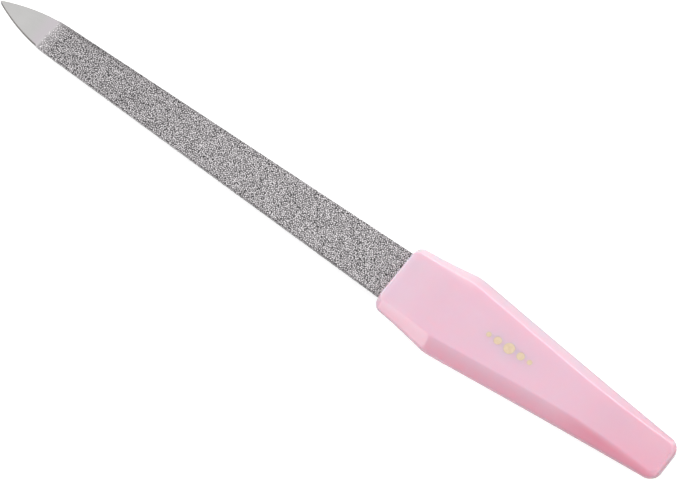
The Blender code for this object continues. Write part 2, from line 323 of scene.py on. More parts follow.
@dataclass(frozen=True)
class SatinSteel(Finish):
    """Stamped stainless steel, tumbled to an even satin, with a haze of plating near the coat."""

    middle_z: float
    half_thickness: float
    coat_x: float
    light: str = "cac9c8"
    dark: str = "bbbab9"
    haze: str = "c6c0c4"
    # Darker steel of the edge wall: partly the sheared edge's own tone, partly painted shade.
    sheared_and_shaded: str = "7a7673"
    scratch_width: float = 0.00012
    scratch_length: float = 12.0
    scratch_tone: float = 0.7
    cloud_size: float = 0.004
    cloud_tone: float = 0.8
    haze_zone: Span = (-0.0026, -0.0006)
    haze_wander: float = 0.002
    face_zone: Span = (1.0, 0.93)
    roughness: float = 0.34
    edge_roughness: float = 0.25
    scratch_roughness: float = 0.10
    cloud_roughness: float = 0.06
    edge_dullness: float = 0.8
    relief: float = 0.000004

    def looks(self, graph: Graph) -> dict[str, Any]:
        """Lay fine lengthwise scratches over the steel and dull its edges left by shearing, whose darker
        colour is partly painted shade.

        Args:
            graph: The material's node graph.

        Returns:
            The values and links of the shader's inputs, by name.
        """
        x, _, z = graph.place()
        scratch = graph.noise(self.scratch_width, (self.scratch_length, 1, 1), detail=3)
        cloud = graph.noise(self.cloud_size, detail=1, seed=2)
        # The edge wall: rougher and less metallic, as sheared steel is, and darker, which is partly painted
        # shade.
        edge = (abs(z - self.middle_z) / self.half_thickness).ramp(*self.face_zone)
        share = 0.5 + scratch * self.scratch_tone + cloud * self.cloud_tone
        hazy = (x - self.coat_x + cloud * self.haze_wander).ramp(*self.haze_zone)
        face = graph.blend(hazy, graph.blend(share, self.light, self.dark), self.haze)
        roughness = self.roughness + edge * self.edge_roughness + scratch * self.scratch_roughness
        return {
            "Base Color": graph.blend(edge, face, self.sheared_and_shaded),
            "Roughness": roughness + cloud * self.cloud_roughness,
            "Metallic": 1 - edge * self.edge_dullness,
            "Normal": graph.bump(0.5, self.relief, scratch),
        }


@dataclass(frozen=True)
class CoatFinish(Finish):
    """What the bond and the grains share: both are darker along the blade's two edges, which is painted
    shade.

    The left edge is the one at +Y. A pair of values goes from the coat's start to its rear.
    """

    front_x: float
    front_half: float
    taper: float
    side_zone: ClassVar[Span] = (-0.0005, 0.0005)
    tone_zone: ClassVar[Span] = (0.0, 0.075)
    left_shades: ClassVar[Span] = (0.55, 0.19)
    right_shades: ClassVar[Span] = (0.04, 0.38)
    width_zone: ClassVar[Span] = (0.004, 0.030)
    left_widths: ClassVar[Span] = (0.0014, 0.0006)
    right_width: ClassVar[float] = 0.0003
    used_zone: ClassVar[Span] = (0.060, 0.0)

    def rim(self, graph: Graph) -> Signal:
        """How dark the coat is at its edges, as painted shade.

        Args:
            graph: The material's node graph.

        Returns:
            A share, 0 away from the edges.
        """
        x, y, _ = graph.place()
        behind = x - self.front_x
        inset = self.front_half + behind * self.taper - abs(y)
        left, along = y.ramp(*self.side_zone), behind.ramp(*self.tone_zone)
        tone = left.between(along.between(*self.right_shades), along.between(*self.left_shades))
        left_width = behind.ramp(*self.width_zone).between(*self.left_widths)
        width = left.between(self.right_width, left_width)
        # Painted shade: full at the edge, fading inwards over the width, with a strength for each side.
        return (inset / width).ramp(1.0, 0.0) * tone

    def used(self, graph: Graph) -> Signal:
        """How much the coat is used and soiled, most near the point."""
        return (graph.place()[0] - self.front_x).ramp(*self.used_zone)


@dataclass(frozen=True)
class NickelBond(CoatFinish):
    """The dull nickel plating between the grains, with the dust of the finest ones in it."""

    slant: float
    fresh: str = "c6c2c4"
    pale: str = "b0acae"
    # Near-black: painted shade in the pits between the grains and along the blade's edges.
    deep: str = "0b0a0b"
    pit: float = 0.00017
    pit_zone: Span = (-0.11, 0.14)
    soil: float = 0.16
    # How much painted shade the bond's edges get.
    edge_shade_share: float = 0.5
    start_wander: float = 0.0008
    quick_zone: Span = (0.0, 0.0008)
    quick_share: float = 0.52
    slow_zone: Span = (0.0, 0.0034)
    roughness: float = 0.55
    pit_roughness: float = 0.3
    metallic: float = 0.35
    relief: float = 0.00003

    def looks(self, graph: Graph) -> dict[str, Any]:
        """Lay dark pits, which are painted shade between the grains, and pale dust over the plating, which
        is cleaner where it begins, and paint shade along its edges.

        Args:
            graph: The material's node graph.

        Returns:
            The values and links of the shader's inputs, by name.
        """
        pits = graph.noise(self.pit, detail=3)
        x, y, _ = graph.place()
        share = pits.ramp(*self.pit_zone) * (1 - self.used(graph) * self.soil)
        # The pits are painted shade between the grains.
        body = graph.blend(share, self.deep, self.pale)
        # Painted shade along the blade's edges.
        body = graph.blend(self.rim(graph) * self.edge_shade_share, body, self.deep)
        reach = x - self.front_x - y * self.slant + pits * self.start_wander
        quick, slow = reach.ramp(*self.quick_zone), reach.ramp(*self.slow_zone)
        worn = quick * self.quick_share + slow * (1 - self.quick_share)
        return {
            "Base Color": graph.blend(worn, self.fresh, body),
            "Roughness": self.roughness - pits * self.pit_roughness,
            "Metallic": self.metallic,
            "Normal": graph.bump(1.0, self.relief, pits),
        }


@dataclass(frozen=True)
class GritCrystal(CoatFinish):
    """The grains: grey crystals, each with its own tone, a few of them bright."""

    attribute: str = "tone"
    dark: str = "cac6c8"
    bright: str = "fffbfd"
    # For the painted shade along the blade's edges.
    edge_shade_tone: str = "6e6a6c"
    bright_zone: Span = (0.0, 0.60)
    soil: float = 0.22
    dust: float = 0.2
    dust_size: float = 0.003
    dust_zone: Span = (0.0, 0.5)
    roughness: float = 0.40
    bright_gloss: float = 0.12

    def looks(self, graph: Graph) -> dict[str, Any]:
        """Give each grain a tone from its own attribute, with more soil towards the point, and paint shade
        along the blade's edges.

        Args:
            graph: The material's node graph.

        Returns:
            The values and links of the shader's inputs, by name.
        """
        settings = {"attribute_name": self.attribute}
        tone = Signal(graph, graph.add("ShaderNodeAttribute", settings).outputs["Fac"])
        dust = graph.noise(self.dust_size, seed=5).ramp(*self.dust_zone) * self.dust
        colour = graph.blend(tone.ramp(*self.bright_zone), self.dark, self.bright)
        colour = graph.blend(dust + self.used(graph) * self.soil, colour, self.dark)
        # The grains darken along the blade's edges as painted shade.
        return {
            "Base Color": graph.blend(self.rim(graph), colour, self.edge_shade_tone),
            "Roughness": self.roughness - tone * self.bright_gloss,
        }


@dataclass(frozen=True)
class Touch:
    """A touch of another tone on the handle. Each span is a smooth step from none to all of it."""

    share: float
    along: tuple[Span, ...]
    across: Span | None = None
    depth: Span | None = None

    def strength(self, reach: Signal, y: Signal, depth: Signal) -> Signal:
        """How strong the touch is.

        Args:
            reach: How far the shaded point is behind the handle's front face.
            y: Its place across the handle.
            depth: Its height above or below the parting line, over the half thickness there.

        Returns:
            A number from 0 to the touch's share.
        """
        steps = [reach.ramp(*span) for span in self.along]
        if self.across:
            steps.append(y.ramp(*self.across))
        if self.depth:
            steps.append(depth.ramp(*self.depth))
        return reduce(Signal.__mul__, steps) * self.share


@dataclass(frozen=True)
class PearlPlastic(Finish):
    """Moulded pink plastic with a little pearl in it, slightly clear in depth.

    Places along the handle count from its front face, and the -Y side is the one nearer the camera. Light
    and shade are painted into its colour: paler where the lamps fall, deeper pink or greyer where shade
    falls.
    """

    front: Point3
    front_half: float
    full_half: float
    rise_length: float
    length: float
    # Greyish mauve: painted shade along the rims and on the end face.
    edge: str = "a88f9a"
    # Painted light and a painted highlight: the front edge, the front of the top and the +Y bevel in front
    # of the widest point.
    pale: str = "fde2eb"
    thick: str = "ecc3d4"
    # The rim's tones: paler as painted light on the +Y side, deeper pink as painted shade on the -Y side.
    painted_lit_rim: str = "e4c5d3"
    painted_shaded_rim: str = "f0adc2"
    # Deeper pink towards the handle's end, most on the -Y side: painted shade.
    tail_shade: str = "ec9bb1"
    pearl: str = "f2cfe0"
    # Painted shade on the -Y bevel in front of the widest point.
    bevel_shade: str = "dca3b8"
    shaded_side_zone: Span = (0.0060, -0.0060)
    shaded_side_share: float = 0.87
    thick_zone: Span = (0.28, 1.0)
    tail_zone: Span = (0.036, 0.048)
    tail_side: Span = (-0.0030, -0.0042)
    tail_shares: Span = (0.18, 1.0)
    widest_ease: float = 0.0020
    flow_size: float = 0.006
    flow_stretch: float = 2.4
    flow_relief: float = 3.0
    pearl_zone: Span = (0.0, 0.4)
    pearl_share: float = 0.35
    skin_size: float = 0.0011
    skin_roughness: float = 0.08
    relief: float = 0.00002
    roughness: float = 0.24
    clear_depth: float = 0.0030

    def layers(self) -> tuple[tuple[str, tuple[Touch, ...]], ...]:
        """Say where light and shade are painted on the plastic.

        Returns:
            The layers from the lowest up, each a tone and its touches.
        """
        low, high = self.rise_length - self.widest_ease, self.rise_length + self.widest_ease
        end = self.length
        front_edge_highlight = Touch(0.45, ((-0.0002, 0.0005), (0.0015, 0.0002)))
        far_bevel_light = Touch(0.35, ((high, low),), across=(0.0045, 0.0062))
        front_top_light = Touch(0.13, ((0.010, 0.004),), depth=(0.85, 1.0))
        near_bevel_shade = Touch(0.28, ((high, low), (0.003, 0.007)), across=(-0.0052, -0.0066))
        far_rim_shade = Touch(0.32, ((low, high),), across=(0.0005, 0.0015), depth=(0.36, 0.20))
        end_rim_shade = Touch(0.75, ((end - 0.0007, end - 0.0001),), depth=(0.36, 0.18))
        near_rim_shade = Touch(0.34, ((0.010, 0.050),), across=(-0.0005, -0.0015), depth=(0.30, 0.14))
        # Lowest up: a painted highlight on the front edge, painted light on the +Y bevel and the front of
        # the top, painted shade on the -Y bevel, and painted shade along the rims and on the end face.
        return (
            (self.pale, (front_edge_highlight,)),
            (self.pale, (far_bevel_light, front_top_light)),
            (self.bevel_shade, (near_bevel_shade,)),
            (self.edge, (far_rim_shade, end_rim_shade, near_rim_shade)),
        )

    def looks(self, graph: Graph) -> dict[str, Any]:
        """Pale the pink towards the rim as painted light, but deepen it as painted shade on the -Y side and
        most near the end of the handle; then lay on the painted layers.

        Args:
            graph: The material's node graph.

        Returns:
            The values and links of the shader's inputs, by name.
        """
        x, y, z = graph.place()
        reach = x - self.front[0]
        slope = (self.full_half - self.front_half) / self.rise_length
        depth = abs(z - self.front[2]) / (self.front_half + reach * slope).below(self.full_half)
        # The rim's colour: painted light on the +Y side, painted shade on the -Y side.
        rim = graph.blend(y.ramp(*self.shaded_side_zone) * self.shaded_side_share, self.painted_lit_rim, self.painted_shaded_rim)
        body = graph.blend(depth.ramp(*self.thick_zone), rim, self.thick)
        # Painted shade towards the end of the handle, most on the -Y side.
        tail_shade = reach.ramp(*self.tail_zone) * y.ramp(*self.tail_side).between(*self.tail_shares)
        body = graph.blend(tail_shade, body, self.tail_shade)
        for tone, touches in self.layers():
            share = reduce(Signal.above, [touch.strength(reach, y, depth) for touch in touches])
            body = graph.blend(share, body, tone)
        flow = graph.noise(self.flow_size, (self.flow_stretch, 1, 1), seed=1)
        skin = graph.noise(self.skin_size, seed=4)
        return {
            "Base Color": graph.blend(flow.ramp(*self.pearl_zone) * self.pearl_share, body, self.pearl),
            "Roughness": self.roughness + skin * self.skin_roughness,
            "Normal": graph.bump(0.35, self.relief, skin + flow * self.flow_relief),
            "Subsurface Weight": 1.0,
            "Subsurface Radius": (1.0, 0.25, 0.30),
            "Subsurface Scale": self.clear_depth,
            "IOR": 1.57,
            "Specular IOR Level": 0.7,
            "Sheen Weight": 0.25,
            "Sheen Roughness": 0.4,
        }


@dataclass(frozen=True)
class StampedFoil(Finish):
    """Pale gold foil, hot-stamped, with the plastic's texture showing in it."""

    light: str = "ead4bb"
    deep: str = "d8bf9e"
    mottle_size: float = 0.0006
    mottle_tone: float = 1.4
    crease_width: float = 0.00018
    crease_length: float = 3.0
    roughness: float = 0.34
    mottle_roughness: float = 0.2
    metallic: float = 0.85
    relief: float = 0.000006

    def looks(self, graph: Graph) -> dict[str, Any]:
        """Mottle the foil and crease it finely.

        Args:
            graph: The material's node graph.

        Returns:
            The values and links of the shader's inputs, by name.
        """
        mottle = graph.noise(self.mottle_size, detail=3, seed=3)
        crease = graph.noise(self.crease_width, (self.crease_length, 1, 1), seed=6)
        return {
            "Base Color": graph.blend(0.5 + mottle * self.mottle_tone, self.light, self.deep),
            "Roughness": self.roughness + mottle * self.mottle_roughness,
            "Metallic": self.metallic,
            "Normal": graph.bump(0.5, self.relief, crease + mottle),
        }


# Mesh tools


def show(name: str, mesh: bpy.types.Mesh) -> bpy.types.Object:
    """Put a mesh in the scene as an object at the origin.

    Args:
        name: The object's name.
        mesh: Its mesh, which already holds its place.

    Returns:
        The object.
    """
    item = bpy.data.objects.new(name, mesh)
    bpy.context.scene.collection.objects.link(item)
    return item


def baked(item: bpy.types.Object) -> bpy.types.Mesh:
    """Take the finished mesh of an object and remove the object.

    Args:
        item: The object, with its modifiers live.

    Returns:
        A plain mesh with the modifiers in it.
    """
    bpy.context.view_layer.update()
    graph = bpy.context.evaluated_depsgraph_get()
    mesh = bpy.data.meshes.new_from_object(item.evaluated_get(graph))
    bpy.data.objects.remove(item, do_unlink=True)
    return mesh


def welded(mesh: bpy.types.Mesh, turn: float) -> bpy.types.Mesh:
    """Merge a mesh's doubles, face it outwards and shade it smooth.

    Args:
        mesh: The mesh, which is changed.
        turn: The angle past which an edge stays sharp.

    Returns:
        The same mesh.
    """
    shape = bmesh.new()
    shape.from_mesh(mesh)
    bmesh.ops.remove_doubles(shape, verts=shape.verts, dist=WELD_DISTANCE)
    bmesh.ops.recalc_face_normals(shape, faces=shape.faces)
    shape.to_mesh(mesh)
    shape.free()
    mesh.shade_smooth()
    mesh.set_sharp_from_angle(angle=turn)
    return mesh


def evened(mesh: bpy.types.Mesh) -> bpy.types.Mesh:
    """Weight a mesh's normals by the faces' areas, so that its flats stay flat when shaded.

    Args:
        mesh: The mesh.

    Returns:
        A copy with the weighted normals.
    """
    item = show(mesh.name, mesh)
    modifier = item.modifiers.new("even", "WEIGHTED_NORMAL")
    modifier.keep_sharp = True
    return baked(item)


@dataclass(frozen=True)
class Plate:
    """A flat plate with rounded edges, cut to an outline, with holes if it has any."""

    outlines: tuple[tuple[Point2, ...], ...]
    thickness: float
    middle: Point3
    edge_round: float = 0.0
    round_steps: int = 2

    def mesh(self, name: str, turn: float = PLATE_TURN) -> bpy.types.Mesh:
        """Draw the outlines as a filled curve and turn it into a mesh.

        Args:
            name: The mesh's name.
            turn: The angle past which an edge stays sharp.

        Returns:
            The closed mesh, in its place.
        """
        curve = bpy.data.curves.new(name, "CURVE")
        curve.dimensions = "2D"
        curve.fill_mode = "BOTH"
        curve.extrude = self.thickness / 2 - self.edge_round
        curve.bevel_depth = self.edge_round
        curve.bevel_resolution = self.round_steps
        curve.offset = -self.edge_round
        for outline in self.outlines:
            spline = curve.splines.new("POLY")
            spline.points.add(len(outline) - 1)
            for point, (x, y) in zip(spline.points, outline):
                point.co = (x, y, 0, 1)
            spline.use_cyclic_u = True
        mesh = baked(show(name, curve))
        mesh.transform(Matrix.Translation(self.middle))
        return welded(mesh, turn)


def cut(mesh: bpy.types.Mesh, cutters: list[bpy.types.Mesh], turn: float) -> bpy.types.Mesh:
    """Cut shapes out of a mesh.

    Args:
        mesh: The closed mesh to cut.
        cutters: The closed meshes to take away, one after the other.
        turn: The angle past which an edge stays sharp.

    Returns:
        The mesh that is left.
    """
    item = show(mesh.name, mesh)
    helpers = [show(f"cutter_{number}", cutter) for number, cutter in enumerate(cutters)]
    for helper in helpers:
        boolean = item.modifiers.new(helper.name, "BOOLEAN")
        boolean.operation, boolean.solver, boolean.object = "DIFFERENCE", "EXACT", helper
    result = baked(item)
    for helper in helpers:
        bpy.data.objects.remove(helper, do_unlink=True)
    return welded(result, turn)


def finished(name: str, mesh: bpy.types.Mesh, finish: Finish, nodes: tuple[str, ...] = ()) -> None:
    """Dress a mesh, let it ride with the file and report it.

    Args:
        name: The piece's name.
        mesh: Its mesh, in place.
        finish: Its finish.
        nodes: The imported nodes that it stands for.
    """
    if nodes:
        mesh = evened(mesh)
    mesh.materials.clear()
    mesh.materials.append(finish.material())
    piece = show(name, mesh)
    if nodes:
        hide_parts(*nodes)
    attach(piece, "root")
    LOG.info("%s: %d faces", name, len(mesh.polygons))


# Blade and coat


@dataclass(frozen=True)
class BladePlan:
    """The steel's outline in plan, with X counted from the point."""

    exposed_length: float
    mouth_width: float = 0.01008
    ogive_length: float = 0.0126
    ogive_width: float = 0.00648
    ogive_power: float = 1.9
    nose_length: float = 0.00030
    nose_width: float = 0.00034
    nose_steps: int = 8
    ogive_steps: int = 36
    shoulder_depth: float = 0.0022
    tang_depth: float = 0.0500
    tang_mouth_width: float = 0.0082
    tang_end_width: float = 0.0036
    tang_end_round: float = 0.0006

    def half_width(self, x: float) -> float:
        """Half the width of the blade: a blunt nose, a pointed arch, then an even taper.

        Args:
            x: The distance from the point.

        Returns:
            Half the width there.
        """
        slope = (self.mouth_width - self.ogive_width) / 2 / (self.exposed_length - self.ogive_length)
        taper = self.ogive_width / 2 + slope * (x - self.ogive_length)
        if x >= self.ogive_length:
            return taper
        drop = (self.ogive_width - self.nose_width) / 2 - slope * self.ogive_length
        drawn_in = taper - drop * (1 - x / self.ogive_length) ** self.ogive_power
        if x >= self.nose_length:
            return drawn_in
        return drawn_in * math.sqrt(1 - (1 - x / self.nose_length) ** 2)

    def side(self, start: float, end: float, offset: float = 0.0) -> list[Point2]:
        """One side of the blade.

        Args:
            start: The X that it starts at.
            end: The X that it ends at.
            offset: How far it is moved outwards.

        Returns:
            Its points, from low to high X.
        """
        turns = [math.pi / 2 * step / self.nose_steps for step in range(self.nose_steps)]
        nose = [self.nose_length * (1 - math.cos(turn)) for turn in turns]
        run = self.ogive_length - self.nose_length
        ogive = [self.nose_length + run * step / self.ogive_steps for step in range(self.ogive_steps + 1)]
        stations = [start] + [x for x in nose + ogive if start < x < end] + [end]
        return [(x, self.half_width(x) + (offset if x > 0 else 0)) for x in stations]

    def tang(self, start: float, offset: float = 0.0) -> list[Point2]:
        """One side of the tang.

        Args:
            start: The X that it starts at, near the shoulders.
            offset: How far it is moved outwards.

        Returns:
            Its points, from low to high X.
        """
        shoulder = self.exposed_length + self.shoulder_depth
        end = self.exposed_length + self.tang_depth + offset
        drop = (self.tang_end_width - self.tang_mouth_width) / 2
        slope = drop / (self.tang_depth - self.shoulder_depth)
        corner = self.tang_end_width / 2 + offset
        points = [(start, self.tang_mouth_width / 2 + offset + slope * (start - shoulder))]
        for step in range(self.nose_steps + 1):
            turn = math.pi / 2 * step / self.nose_steps
            x = end - self.tang_end_round * (1 - math.sin(turn))
            points.append((x, corner - self.tang_end_round * (1 - math.cos(turn))))
        return points


def both_sides(side: list[Point2]) -> tuple[Point2, ...]:
    """A closed outline from the points of one side, which run from low to high X."""
    return tuple(side + [(x, -y) for x, y in reversed(side) if y > 0])


def ring(centre: float, radius: float, steps: int) -> tuple[Point2, ...]:
    """A circle in plan, about a point on the X axis."""
    turns = [2 * math.pi * step / steps for step in range(steps)]
    return tuple((centre + radius * math.cos(turn), radius * math.sin(turn)) for turn in turns)


@dataclass(frozen=True)
class SteelBlade:
    """The stamped steel: point, blade and tang, with its edges tumbled round and a key hole."""

    plan: BladePlan
    tip: Point3
    thickness: float
    edge_round: float = 0.00020
    key_hole_diameter: float = 0.0030
    key_hole_depth: float = 0.0120
    hole_steps: int = 48
    round_steps: int = 3

    def build(self) -> None:
        """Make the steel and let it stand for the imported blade."""
        plan = self.plan
        shoulder = plan.exposed_length + plan.shoulder_depth
        rim = both_sides(plan.side(0, shoulder) + plan.tang(shoulder))
        hole = ring(plan.exposed_length + self.key_hole_depth, self.key_hole_diameter / 2, self.hole_steps)
        plate = Plate((rim, hole), self.thickness, self.tip, self.edge_round, self.round_steps)
        places = (self.tip[2], self.thickness / 2, self.tip[0] + GritCoat.start)
        steel = SatinSteel("satin_steel", Slot.STEEL, *places)
        finished("steel_blade", plate.mesh("steel_blade"), steel, ("blade",))


class GritScatter:
    """A node tree that sets grains on the parts of a skin that face one way."""

    NUMBERS: ClassVar[tuple[str, ...]] = (
        "Spacing", "Density", "Grain Radius", "Front", "Slant", "Fade", "Wander", "End"
    )
    INPUTS: ClassVar[dict[str, str]] = {
        "Facing": "Vector", **dict.fromkeys(NUMBERS, "Float"), "Seed": "Int", "Finish": "Material"
    }
    facing_limit: ClassVar[float] = 0.6
    turns: ClassVar[tuple[Point3, Point3]] = ((0, 0, 0), (math.tau, math.tau, math.tau))
    stretches: ClassVar[tuple[Point3, Point3]] = ((0.75, 0.75, 0.75), (1.3, 1.3, 1.3))
    wander_scale: ClassVar[float] = 900.0
    grain_sides: ClassVar[int] = 4
    grain_rings: ClassVar[int] = 2
    seed_step: ClassVar[float] = 10.0

    def __init__(self) -> None:
        """Build the tree."""
        self.tree = bpy.data.node_groups.new("grit_scatter", "GeometryNodeTree")
        sockets = self.tree.interface
        sockets.new_socket("Skin", in_out="INPUT", socket_type="NodeSocketGeometry")
        self.keys = {
            name: sockets.new_socket(name, in_out="INPUT", socket_type=f"NodeSocket{kind}").identifier
            for name, kind in self.INPUTS.items()
        }
        sockets.new_socket("Grit", in_out="OUTPUT", socket_type="NodeSocketGeometry")
        self.graph = Graph(self.tree)
        self.given = self.graph.add("NodeGroupInput").outputs
        self._fill()

    def _fill(self) -> None:
        """Link the steps of the scatter."""
        given = self.given

        def step(kind: str, inputs: dict[int | str, Any], **settings: str) -> bpy.types.NodeSocket:
            """Add one step and take its first output."""
            return self.graph.add(f"GeometryNode{kind}", settings, inputs).outputs[0]

        normal = step("InputNormal", {})
        dot = {"operation": "DOT_PRODUCT"}
        facing = self.graph.add("ShaderNodeVectorMath", dot, {0: normal, 1: given["Facing"]})
        chosen = self._compared("GREATER_THAN", facing.outputs["Value"], self.facing_limit)
        inputs = {
            "Mesh": given["Skin"],
            "Selection": chosen,
            "Distance Min": given["Spacing"],
            "Density Max": given["Density"],
            "Seed": given["Seed"],
        }
        last = step("DistributePointsOnFaces", inputs, distribute_method="POISSON")
        last = step("DeleteGeometry", {"Geometry": last, "Selection": self._left_out()}, domain="POINT")
        inputs = {"Segments": self.grain_sides, "Rings": self.grain_rings, "Radius": given["Grain Radius"]}
        grain = step("MeshUVSphere", inputs)
        grain = step("SetShadeSmooth", {"Geometry": grain, "Shade Smooth": False})
        turned, scaled = self._random(1, *self.turns), self._random(2, *self.stretches)
        inputs = {"Points": last, "Instance": grain, "Rotation": turned, "Scale": scaled}
        last = step("InstanceOnPoints", inputs)
        inputs = {"Geometry": last, "Name": GritCrystal.attribute, "Value": self._random(3, 0.0, 1.0)}
        last = step("StoreNamedAttribute", inputs, data_type="FLOAT", domain="INSTANCE")
        last = step("RealizeInstances", {"Geometry": last})
        last = step("SetMaterial", {"Geometry": last, "Material": given["Finish"]})
        self.graph.add("NodeGroupOutput", inputs={0: last})

    def _left_out(self) -> bpy.types.NodeSocket:
        """Choose the points that lie in front of the wandering front line or past the end.

        Returns:
            The socket of the choice.
        """
        where = self.graph.add("GeometryNodeInputPosition").outputs[0]
        x, y, _ = self.graph.split(where)
        inputs = {"Vector": where, "Scale": self.wander_scale, "Detail": 2.0}
        noise = self.graph.add("ShaderNodeTexNoise", inputs=inputs)
        wander = Signal(self.graph, noise.outputs["Fac"]) - 0.5
        chance = Signal(self.graph, self._random(4, 0.0, 1.0))
        names = ("Front", "Slant", "Wander", "Fade")
        front, slant, reach, fade = (Signal(self.graph, self.given[name]) for name in names)
        line = front + y * slant + wander * reach + chance * chance * fade
        early = self._compared("LESS_THAN", x, line)
        late = self._compared("GREATER_THAN", x, self.given["End"])
        either = {"operation": "OR"}
        return self.graph.add("FunctionNodeBooleanMath", either, {0: early, 1: late}).outputs[0]

    def _compared(self, operation: str, first: Any, second: Any) -> bpy.types.NodeSocket:
        """The socket that says whether two numbers compare as the operation asks."""
        inputs = {0: first, 1: second}
        return self.graph.add("FunctionNodeCompare", {"operation": operation}, inputs).outputs[0]

    def _random(self, draw: int, low: Any, high: Any) -> bpy.types.NodeSocket:
        """A random value for each point.

        Args:
            draw: A number that sets this draw apart from the others.
            low: The least value, a number or a vector.
            high: The greatest value.

        Returns:
            The socket of the value.
        """
        kind, places, output = "FLOAT", (2, 3), 1
        if isinstance(low, tuple):
            kind, places, output = "FLOAT_VECTOR", (0, 1), 0
        seed = Signal(self.graph, self.given["Seed"]) + self.seed_step * draw
        inputs = {places[0]: low, places[1]: high, "Seed": seed}
        return self.graph.add("FunctionNodeRandomValue", {"data_type": kind}, inputs).outputs[output]

    def grains(self, name: str, skin: bpy.types.Mesh, values: dict[str, Any]) -> bpy.types.Mesh:
        """Run the tree once.

        Args:
            name: The mesh's name.
            skin: The skin that carries the grains.
            values: The values of the tree's inputs.

        Returns:
            The grains as one plain mesh.
        """
        item = show(name, skin.copy())
        modifier = item.modifiers.new("grit", "NODES")
        modifier.node_group = self.tree
        for key, value in values.items():
            modifier[self.keys[key]] = value
        return baked(item)


@dataclass(frozen=True)
class GritCoat:
    """The abrasive coat: a thin nickel bond round the steel, with grains set in it."""

    plan: BladePlan
    tip: Point3
    steel_thickness: float
    bond: float = 0.00002
    core_gap: float = 0.000005
    edge_round: float = 0.00012
    start: float = 0.0109
    slant_share: float = 0.10
    seat_depth: float = 0.0015
    grain_slant: float = 0.02
    spacing: float = 0.000275
    density: float = 0.62e8
    grain_radius: float = 0.000153
    fade: float = 0.0010
    wander: float = 0.0007

    def build(self) -> None:
        """Make the bond and the grains of each side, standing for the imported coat."""
        plan = self.plan
        front_half = plan.half_width(plan.ogive_length)
        taper = plan.half_width(plan.exposed_length) - front_half
        taper /= plan.exposed_length - plan.ogive_length
        coat = (Slot.GRIT, self.tip[0] + self.start, front_half, taper)
        bond = NickelBond("nickel_bond", *coat, self.slant_share)
        finished("grit_bond", self._bond_mesh(), bond, ("grit_coat",))
        skin = self._skin()
        scatter = GritScatter()
        crystal = GritCrystal("grit_crystal", *coat)
        stand_in = crystal.material()
        for seed, side in enumerate(Side, 1):
            values = {
                "Facing": side.value,
                "Spacing": self.spacing,
                "Density": self.density,
                "Grain Radius": self.grain_radius,
                "Front": self.tip[0] + self.start,
                "Slant": self.grain_slant,
                "Fade": self.fade,
                "Wander": self.wander,
                "End": self.tip[0] + plan.exposed_length - self.grain_radius,
                "Seed": seed,
                "Finish": stand_in,
            }
            name = f"grit_{side.name.lower()}"
            finished(name, scatter.grains(name, skin, values), crystal)
        bpy.data.meshes.remove(skin)

    def _skin(self) -> bpy.types.Mesh:
        """Make the closed outer surface that the grains are set on.

        Returns:
            The surface, without a finish.
        """
        plan, end = self.plan, self.plan.exposed_length
        rim = both_sides(plan.side(self.start - self.fade, end, self.bond))
        thickness = self.steel_thickness + 2 * self.bond
        return Plate((rim,), thickness, self.tip, self.edge_round).mesh("grit_skin")

    def _bond_mesh(self) -> bpy.types.Mesh:
        """Make the bond's sleeve, hollow where the steel is.

        Returns:
            The closed sleeve, in its place.
        """
        plan, end = self.plan, self.plan.exposed_length + self.seat_depth
        reach = self.slant_share * plan.half_width(self.start)
        far_side = plan.side(self.start + reach, end, self.bond)
        near_side = plan.side(self.start - reach, end, self.bond)
        rim = tuple(far_side + [(x, -y) for x, y in reversed(near_side)])
        outer = Plate((rim,), self.steel_thickness + 2 * self.bond, self.tip)
        core_end = end + self.seat_depth
        core_rim = both_sides(plan.side(0, core_end, self.core_gap))
        core = Plate((core_rim,), self.steel_thickness + 2 * self.core_gap, self.tip)
        return cut(outer.mesh("grit_bond"), [core.mesh("core")], PLATE_TURN)


# Handle


